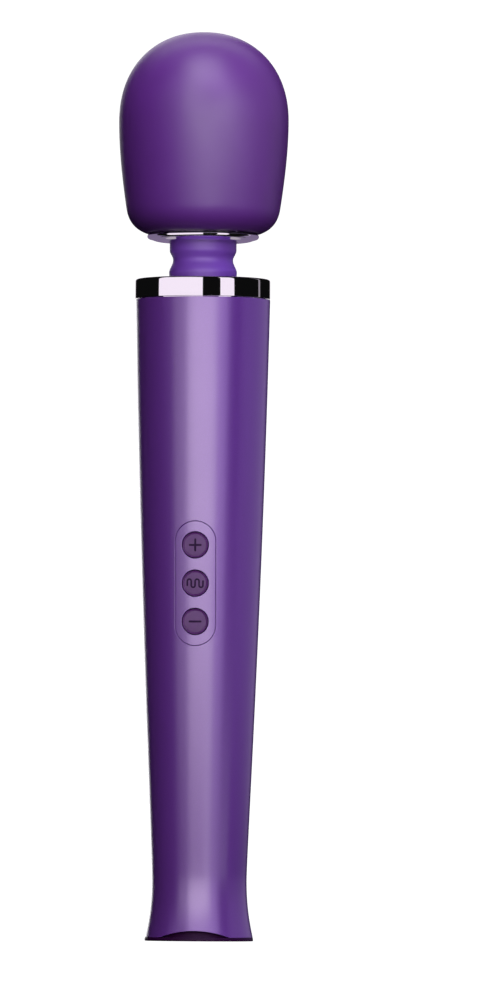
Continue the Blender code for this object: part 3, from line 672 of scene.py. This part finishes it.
def front_shell():
    """The front half, with an arch at its foot and a hole for the button panel."""
    arch = wrap(notch())
    foot = [(a, SHELL_LOW) for a in np.linspace(-SHELL_REACH, arch[0][0], 14)[1:-1]]
    bottom = [*foot, *arch, *[(-a, z) for a, z in reversed(foot)]]
    hole = wrap(reversed(pill(PANEL_RADIUS + PANEL_GAP, PANEL_REACH)))
    return shell_plate("front_shell_skin", bottom, [hole], on_shell, 150, "front_shell")


def rear_shell():
    def behind(a, height, depth):
        x, y, z = on_shell(a, height, depth)
        return (-x, -y, z)

    bottom = [(-a, SHELL_LOW) for a in np.linspace(SHELL_REACH, -SHELL_REACH, 60)[1:-1]]
    return shell_plate("rear_shell_skin", bottom, [], behind, 110, "rear_shell")


def on_front(recess):
    """Places (x, height) a given depth below the handle's front."""
    def place(x, height, depth):
        radius = handle_radius(height) - recess
        turn = asin(max(-1, min(1, x / radius)))
        return (x, -radius * cos(turn) + depth, height)
    return place


def circle(radius, height, steps=48):
    """Clockwise, as a hole runs."""
    turns = [2 * pi * i / steps for i in range(steps)]
    return [(radius * cos(turn), height - radius * sin(turn)) for turn in turns]


def button_panel():
    recess, wall, edge, key_gap, margin = 0.06 * MM, 2.6 * MM, 0.16 * MM, 0.22 * MM, 10 * MM
    outline = pill(PANEL_RADIUS - PANEL_GAP, PANEL_REACH)
    holes = [circle(KEY_RADIUS + key_gap, z) for z in KEYS.values()]
    rows = np.linspace(KEYS["minus"] - margin, KEYS["plus"] + margin, 75)
    grid = [(x, z) for z in rows for x in np.linspace(-PANEL_RADIUS, PANEL_RADIUS, 27)]
    return plate_object(
        "button_panel_skin", outline, holes, on_front(recess), wall, edge, grid, LOOKS["shell"], "handle",
        replaced=("button_panel",),
    )


def key(name, height):
    """A key: a crowned face inside a fine raised ring, with the CAD key's stem. Gives the face's place."""
    front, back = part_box(f"{name}_button")
    face, stem, skirt = front.y, 2 * MM, 2.2 * MM
    outline = [(0.0, face)]
    for i in range(1, 9):
        r = KEY_GROOVE * i / 9
        outline.append((r, face + KEY_CROWN * (r / KEY_GROOVE) ** 2))
    outline += [
        (KEY_GROOVE, face + KEY_CROWN), (KEY_GROOVE + 0.1 * MM, face + KEY_CROWN + 0.14 * MM),
        (KEY_GROOVE + 0.28 * MM, face + KEY_CROWN + 0.02 * MM), (KEY_RADIUS - 0.22 * MM, face + 0.1 * MM),
        (KEY_RADIUS - 0.06 * MM, face + 0.2 * MM), (KEY_RADIUS, face + 0.42 * MM), (KEY_RADIUS, face + skirt),
        (stem, face + skirt), (stem, back.y), (0.0, back.y),
    ]
    bm = lathe_mesh(outline, 72)
    bm.transform(Matrix.Translation((0, 0, height)) @ Matrix.Rotation(radians(-90), 4, "X"))
    bmesh.ops.recalc_face_normals(bm, faces=bm.faces)
    obj = new_object(f"{name}_key_face", bm, LOOKS["key"], f"{name}_key", (f"{name}_button",))
    obj.data.set_sharp_from_angle(angle=radians(40))
    return face


def stroke(points, width, steps=8):
    """The outline of a round-ended stroke along points, counter-clockwise."""
    line = np.array(points)
    along = np.gradient(line, axis=0)
    along /= np.linalg.norm(along, axis=1)[:, None]
    left = np.column_stack([-along[:, 1], along[:, 0]]) * width / 2

    def cap(end, ahead):
        base = np.arctan2(ahead[1], ahead[0])
        turns = [base + pi * (i / steps - 0.5) for i in range(1, steps)]
        return [end + np.array((cos(t), sin(t))) * width / 2 for t in turns]

    outline = [*(line - left), *cap(line[-1], along[-1]), *(line + left)[::-1], *cap(line[0], -along[0])]
    return [tuple(p) for p in outline]


def wave(pitch, leg, legs):
    """A line that runs up and down upright legs joined by round arches."""
    points, arch = [], pitch / 2
    for i in range(legs):
        x, up = (i - (legs - 1) / 2) * pitch, 1 if i % 2 == 0 else -1
        points += [(x, -up * leg / 2), (x, 0), (x, up * leg / 2)]
        if i < legs - 1:
            turns = np.linspace(pi, 0, 10)[1:-1]
            points += [(x + arch + arch * cos(t), up * (leg / 2 + arch * sin(t))) for t in turns]
    return points


def cross(reach, width):
    """A plus sign's outline with round ends, counter-clockwise."""
    points, half = [], width / 2
    for quarter in range(4):
        turn = Matrix.Rotation(quarter * pi / 2, 2)
        corner = [(half, -half)]
        end = [(reach - half + half * cos(t), half * sin(t)) for t in np.linspace(-pi / 2, pi / 2, 9)]
        points += [tuple(turn @ Vector(p)) for p in (*corner, *end)]
    return points


def icon(name, outline, height, face):
    """A sign that stands a little proud of the key's crowned face."""
    proud, thickness, edge, step = 0.07 * MM, 0.25 * MM, 0.06 * MM, 0.2 * MM

    def place(x, up, depth):
        share = (x * x + (up - height) ** 2) / KEY_GROOVE**2
        return (x, face + KEY_CROWN * share - proud + depth, up)

    outline = [(x, height + z) for x, z in outline]
    low, high = np.min(outline, axis=0), np.max(outline, axis=0)
    grid = [(x, z) for x in np.arange(low[0], high[0], step) for z in np.arange(low[1], high[1], step)]
    ink, body = LOOKS["ink"], f"{name}_key"
    return plate_object(f"{name}_sign", outline, [], place, thickness, edge, grid, ink, body)


def keys_and_signs():
    width, thin = 0.72 * MM, 0.62 * MM
    cross_reach, bar_reach = 2.35 * MM, 2 * MM
    pitch, leg, legs = 1.42 * MM, 1.55 * MM, 5
    signs = {
        "plus": cross(cross_reach, width),
        "pattern": stroke(wave(pitch, leg, legs), thin),
        "minus": stroke([(x, 0) for x in np.linspace(-bar_reach, bar_reach, 12)], width),
    }
    for name, height in KEYS.items():
        face = key(name, height)
        icon(name, signs[name], height, face)


def base_cap():
    """The foot: a cup inside the shell's end, with a tube for the charging jack and two screw holes. Its
    near-black plum colour is painted shade: it stands for the shade seen through the shell's front arch and
    along the foot's bottom edge.
    """
    seam = SHELL_LOW - 0.04 * MM
    floor, rim_top, tube_top, tube_step = 2.2 * MM, 6.3 * MM, 10 * MM, 5 * MM
    shoulder, rim, rim_inside, tube, jack, hole = 17.2 * MM, 16 * MM, 14.5 * MM, 6.6 * MM, 5.3 * MM, 3.3 * MM
    outline = rounded([
        (hole, 0, 0.3 * MM), (FOOT_RADIUS - 0.1 * MM, 0, 0.5 * MM), (handle_radius(seam), seam, 0.12 * MM),
        (shoulder, seam, 0), (rim, rim_top, 0.3 * MM), (rim_inside, rim_top, 0.3 * MM),
        (rim_inside, floor, 0), (tube, floor, 0), (tube, tube_top, 0.2 * MM), (jack, tube_top, 0.2 * MM),
        (jack, tube_step, 0), (hole, tube_step, 0),
    ], 0.2 * MM)
    # the near-black plum look paints the shade seen through the front arch
    obj = new_object("base_cap_skin", lathe_mesh(outline), LOOKS["plum"], None, ())
    below, screw_head, screw = -5 * MM, (2.1 * MM, 1.3 * MM), (1.15 * MM, 5 * MM)
    for name in ("base_screw_1", "base_screw_2"):
        low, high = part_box(name)
        x, y = (low.x + high.x) / 2, (low.y + high.y) / 2
        for radius, top in (screw_head, screw):
            drill(obj, radius, (x, y), below, top)
    obj.data.set_sharp_from_angle(angle=radians(35))
    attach(obj, "handle")
    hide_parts("base_cap")


def drill(obj, radius, centre, bottom, top):
    """Cuts a round upright hole and keeps the result as the object's own mesh."""
    twist = 0.07  # keeps the drill's sides off the lathe's own edges
    bm = bmesh.new()
    place = Matrix.Translation((*centre, (bottom + top) / 2)) @ Matrix.Rotation(twist, 4, "Z")
    size = {"radius1": radius, "radius2": radius, "depth": top - bottom}
    bmesh.ops.create_cone(bm, cap_ends=True, segments=40, matrix=place, **size)
    cutter = bpy.data.objects.new("drill", mesh_of("drill", bm))
    bpy.context.scene.collection.objects.link(cutter)
    modifier = obj.modifiers.new("hole", "BOOLEAN")
    modifier.object = cutter
    bpy.context.view_layer.update()
    cut = bpy.data.meshes.new_from_object(obj.evaluated_get(bpy.context.evaluated_depsgraph_get()))
    obj.modifiers.clear()
    obj.data = cut
    bpy.data.objects.remove(cutter)


def collar():
    low, ledge, seat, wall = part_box("collar_ring")[0].z, 238.6 * MM, 236.3 * MM, 22 * MM
    inside_wall, inside_seat = 20.1 * MM, 16.5 * MM
    outline = rounded([
        (wall, COLLAR_LOW, 0), (COLLAR_RADIUS, COLLAR_LOW, 0.15 * MM),
        (COLLAR_RADIUS, COLLAR_TOP - 0.2 * MM, 1.0 * MM), (22.5 * MM, COLLAR_TOP - 0.1 * MM, 0.6 * MM),
        (NECK_PASSAGE, COLLAR_TOP, 0.3 * MM), (NECK_PASSAGE, ledge, 0), (inside_seat, ledge, 0),
        (inside_seat, seat, 0), (inside_wall, seat, 0), (inside_wall, low, 0), (wall, low, 0),
    ], 0.2 * MM, 6)
    bm = lathe_mesh(outline, 160)
    obj = new_object("collar_skin", bm, LOOKS["plated"], "handle", ("collar_ring",))
    obj.data.set_sharp_from_angle(angle=radians(35))


# ---- neck and head ----
def neck_half(name, heights, ends, replaced):
    """Half of the ribbed sleeve. ends close its profile on the inner side."""
    outline = [(neck_radius(z), z) for z in heights]
    obj = new_object(name, lathe_mesh([*outline, *ends], 112), LOOKS["neck"], None, ())
    obj.data.set_sharp_from_angle(angle=radians(40))
    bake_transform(obj)
    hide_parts(replaced)
    return obj


def neck():
    """Both halves of the sleeve. Each has a flange at its outer end, held in the handle or in the head."""
    bore = 8.5 * MM
    low, low_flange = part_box("neck_sleeve_lower")[0].z, 238.3 * MM
    top, top_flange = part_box("neck_sleeve_upper")[1].z, 255.7 * MM
    heights = [low_flange, *np.linspace(239 * MM, NECK_SPLIT, 40)]
    inner = [(bore, z) for z in np.linspace(NECK_SPLIT, low, 12)]
    ends = [*inner, (NECK_FLANGE, low), (NECK_FLANGE, low_flange)]
    neck_half("neck_lower_skin", heights, ends, "neck_sleeve_lower")
    heights = [*np.linspace(NECK_SPLIT, 255.5 * MM, 40), top_flange]
    inner = [(bore, z) for z in np.linspace(top, NECK_SPLIT, 12)]
    ends = [(NECK_FLANGE, top_flange), (NECK_FLANGE, top), *inner]
    neck_half("neck_upper_skin", heights, ends, "neck_sleeve_upper")


def head():
    """The hollow silicone cap, open at its lip."""
    skin = 2.4 * MM
    outer = head_line()
    line = np.array(outer)
    along = np.gradient(line, axis=0)
    along[-1] = (-1, 0)
    along /= np.linalg.norm(along, axis=1)[:, None]
    inner = line + skin * np.column_stack([-along[:, 1], along[:, 0]])
    inner = [tuple(map(float, p)) for p in inner[::-1] if p[1] > HEAD_LIP_TOP + 0.2 * MM]
    inner[0] = (0.0, HEAD_TOP - skin)
    lip = [(HEAD_LIP_RADIUS, HEAD_LOW + 0.2 * MM), (HEAD_LIP_RADIUS + 0.2 * MM, HEAD_LOW)]
    bm = lathe_mesh([*lip, *outer, *inner, (HEAD_LIP_RADIUS, HEAD_LIP_TOP)], 144)
    obj = new_object("head_cap_skin", bm, LOOKS["silicone"], "head", ("head_cap",))
    obj.data.set_sharp_from_angle(angle=radians(50))


def head_ring():
    top, seat, inside_seat = HEAD_LOW - 0.15 * MM, 255.4 * MM, 16.5 * MM
    middle = (RING_LOW + 1.0 * MM + top) / 2
    half, bulge = top - middle, 1.3 * MM
    rim = []
    for i in range(17):
        turn = radians(-90 + 180 * i / 16)
        rim.append((RING_RADIUS - bulge + bulge * cos(turn), middle + half * sin(turn), 0))
    outline = rounded([
        (NECK_PASSAGE, RING_LOW, 0.3 * MM), (17 * MM, RING_LOW + 0.25 * MM, 1.5 * MM), *rim,
        (19 * MM, HEAD_LIP_TOP, 0), (inside_seat, HEAD_LIP_TOP, 0), (inside_seat, seat, 0),
        (NECK_PASSAGE, seat, 0),
    ], 0.2 * MM, 6)
    bm = lathe_mesh(outline, 160)
    obj = new_object("head_ring_skin", bm, LOOKS["plated"], "head", ("head_ring",))
    obj.data.set_sharp_from_angle(angle=radians(35))


# ---- studio ----
AZIMUTH = 5.5  # the camera stands this far round to the right
DISTANCE, CAMERA_HEIGHT = 3.6, 0.03
VIEW_HEIGHT = 0.3627  # height of the frame at the wand
AIM_RIGHT, AIM_UP = 14.5 * MM, 160.0 * MM
CAMERA_ROLL = 0.35  # degrees
PANEL_DISTANCE = 1.1

# Heights that rows of panels span, in metres
FULL, LOW, MIDDLE, HIGH, BEHIND = (-0.5, 1.2), (0, 0.3), (0.3, 0.8), (0.8, 1.6), (1.1, 2.6)

# The light's tints
WHITE, LILAC, VIOLET, DEEP = (1, 1, 1), (1.0, 0.9, 1.0), (1.0, 0.75, 1.3), (0.75, 0.4, 1.8)


def direction(turn):
    """Unit vector from the wand towards a place that many degrees to the right of the camera."""
    a = radians(AZIMUTH + turn)
    return Vector((sin(a), -cos(a), 0))


def camera():
    sensor = 36
    data = bpy.data.cameras.new("camera")
    data.sensor_width = sensor
    data.lens = sensor * DISTANCE / VIEW_HEIGHT
    data.clip_end = 50
    obj = bpy.data.objects.new("camera", data)
    bpy.context.scene.collection.objects.link(obj)
    right = direction(90)
    target = right * AIM_RIGHT + Vector((0, 0, AIM_UP))
    place = direction(0) * DISTANCE + right * AIM_RIGHT + Vector((0, 0, CAMERA_HEIGHT))
    look = (target - place).normalized().to_track_quat("-Z", "Y").to_matrix().to_4x4()
    obj.matrix_world = Matrix.Translation(place) @ look @ Matrix.Rotation(radians(CAMERA_ROLL), 4, "Z")
    bpy.context.scene.camera = obj


def light_panel(name, width, height, radiance, tint, place, receivers):
    """A rectangular light that only its receivers see. Radiance is that of its surface."""
    data = bpy.data.lights.new(name, "AREA")
    data.shape = "RECTANGLE"
    data.size, data.size_y = width, height
    data.energy = radiance * pi * width * height
    data.color = tint
    obj = bpy.data.objects.new(name, data)
    bpy.context.scene.collection.objects.link(obj)
    obj.matrix_world = place
    obj.visible_camera = False
    obj.light_linking.receiver_collection = receivers


def softbox(name, left, right, radiance, row, receivers, tint=WHITE):
    """An upright panel between two angles round the wand, measured to the right of the camera."""
    a, b = direction(left) * PANEL_DISTANCE, direction(right) * PANEL_DISTANCE
    low, high = row
    x = (b - a).normalized()
    z = Vector((x.y, -x.x, 0))
    if z.dot(a + b) < 0:
        z = -z
    facing = Matrix((x, z.cross(x), z)).transposed().to_4x4()
    middle = Matrix.Translation((*((a + b) / 2).xy, (low + high) / 2))
    light_panel(name, (b - a).length, high - low, radiance, tint, middle @ facing, receivers)


def overhead(name, radiance, receivers):
    """A square panel above the wand and in front of it, aimed at the head."""
    size, forward, up, aim_height = 0.6, 0.45, 1.15, 0.31
    place = direction(0) * forward + Vector((0, 0, up))
    aim = Vector((0, 0, aim_height)) - place
    facing = aim.to_track_quat("-Z", "Y").to_matrix().to_4x4()
    light_panel(name, size, size, radiance, WHITE, Matrix.Translation(place) @ facing, receivers)


def lit_group(name, pieces):
    group = bpy.data.collections.new(name)
    for obj in pieces:
        group.objects.link(obj)
    return group


def light_plating(pieces):
    """Two bright panels that leave a dark band between them, and faint ones at the edge, behind and below."""
    both = lit_group("lit_plating", [pieces["collar_skin"], pieces["head_ring_skin"]])
    collar_only = lit_group("lit_collar", [pieces["collar_skin"]])
    ring_only = lit_group("lit_ring", [pieces["head_ring_skin"]])
    softbox("plating_left", -80, 0, 1, FULL, both, LILAC)
    softbox("plating_right", 30, 55, 1, FULL, both, LILAC)
    softbox("plating_edge", 110, 115, 0.3, FULL, both, LILAC)
    softbox("collar_back", 165, 195, 0.5, FULL, collar_only, LILAC)
    softbox("ring_under", 110, 250, 0.2, FULL, ring_only, VIOLET)


def light_head(pieces):
    """A key from the front and near left, a weaker right side, a violet top, faint edges and a lit back."""
    head_cap = lit_group("lit_head", [pieces["head_cap_skin"]])
    softbox("head_key", -10, 25, 4, (0.05, 0.55), head_cap)
    softbox("head_middle", -10, 25, 1, (0.55, 0.8), head_cap)
    softbox("head_high", -10, 45, 3, HIGH, head_cap, VIOLET)
    softbox("head_near_left", -25, -10, 4, (0.3, 1.6), head_cap)
    softbox("head_low_left", -35, -10, 1, LOW, head_cap)
    softbox("head_near_right", 25, 45, 3, (0.15, 0.8), head_cap)
    softbox("head_right", 45, 70, 1, (0, 0.8), head_cap)
    softbox("head_left", -60, -25, 0.3, (0.3, 1.6), head_cap)
    softbox("head_edge", 70, 130, 0.3, (0, 1.6), head_cap)
    softbox("head_back", 170, 205, 1.5, (0.3, 1.2), head_cap)
    softbox("head_behind", 125, 235, 1.5, BEHIND, head_cap)
    overhead("head_top", 4, head_cap)


def light_handle(pieces):
    """A low key from the front, violet beside and above it, faint edges and a lit back."""
    apart = ("collar_skin", "head_ring_skin", "head_cap_skin")
    handle = lit_group("lit_handle", [obj for name, obj in pieces.items() if name not in apart])
    softbox("handle_key", -25, 25, 5, LOW, handle, LILAC)
    softbox("handle_key_left", -50, -25, 1.5, LOW, handle, LILAC)
    softbox("handle_key_right", 25, 45, 2, LOW, handle, VIOLET)
    softbox("handle_middle", -25, 45, 2, MIDDLE, handle, VIOLET)
    softbox("handle_left", -70, -25, 0.5, MIDDLE, handle, VIOLET)
    softbox("handle_top", -25, 45, 0.5, HIGH, handle)
    softbox("handle_right_high", 45, 110, 2, HIGH, handle, DEEP)
    softbox("handle_low", 10, 70, 1, (-0.5, 0), handle)
    softbox("handle_edge", 70, 150, 0.4, (0, 0.8), handle, VIOLET)
    softbox("handle_back", 175, 205, 2.5, (0, 0.9), handle)
    softbox("handle_behind", 125, 235, 4, BEHIND, handle)
    neck_halves = lit_group("lit_neck", [pieces["neck_lower_skin"], pieces["neck_upper_skin"]])
    softbox("neck_front", -30, 50, 1.5, MIDDLE, neck_halves)


def stage_piece(name, bm, look, height=0.0):
    """A part of the set, which shows behind the wand and throws no light on it."""
    mesh = mesh_of(name, bm)
    mesh.materials.append(look)
    obj = bpy.data.objects.new(name, mesh)
    obj.location.z = height
    bpy.context.scene.collection.objects.link(obj)
    obj.visible_diffuse = obj.visible_glossy = False


def stage():
    """A pale floor and a pale round backdrop, and a near-black world."""
    world = bpy.data.worlds.new("studio")
    bpy.context.scene.world = world
    world.use_nodes = True
    background = world.node_tree.nodes["Background"]
    background.inputs["Color"].default_value = (1, 1, 1, 1)
    background.inputs["Strength"].default_value = 0.004

    look = bpy.data.materials.new("stage")
    look.use_nodes = True
    shader = look.node_tree.nodes["Principled BSDF"]
    shader.inputs["Base Color"].default_value = (0.9, 0.9, 0.9, 1)
    shader.inputs["Roughness"].default_value = 0.9
    shader.inputs["Emission Color"].default_value = (1, 1, 1, 1)
    shader.inputs["Emission Strength"].default_value = 1.1

    reach, radius, depth = 10, 8.6, 16
    floor = bmesh.new()
    corners = ((-1, -1), (1, -1), (1, 1), (-1, 1))
    floor.faces.new([floor.verts.new((x * reach, y * reach, 0)) for x, y in corners])
    stage_piece("floor", floor, look, -0.2 * MM)
    drop = bmesh.new()
    bmesh.ops.create_cone(drop, cap_ends=False, segments=128, radius1=radius, radius2=radius, depth=depth)
    stage_piece("backdrop", drop, look)


dress_carried_over()
front_shell()
rear_shell()
button_panel()
keys_and_signs()
base_cap()
collar()
neck()
head()
head_ring()
camera()
pieces = {obj.name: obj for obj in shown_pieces()}
light_plating(pieces)
light_head(pieces)
light_handle(pieces)
stage()
bpy.context.scene.view_settings.view_transform = "Standard"
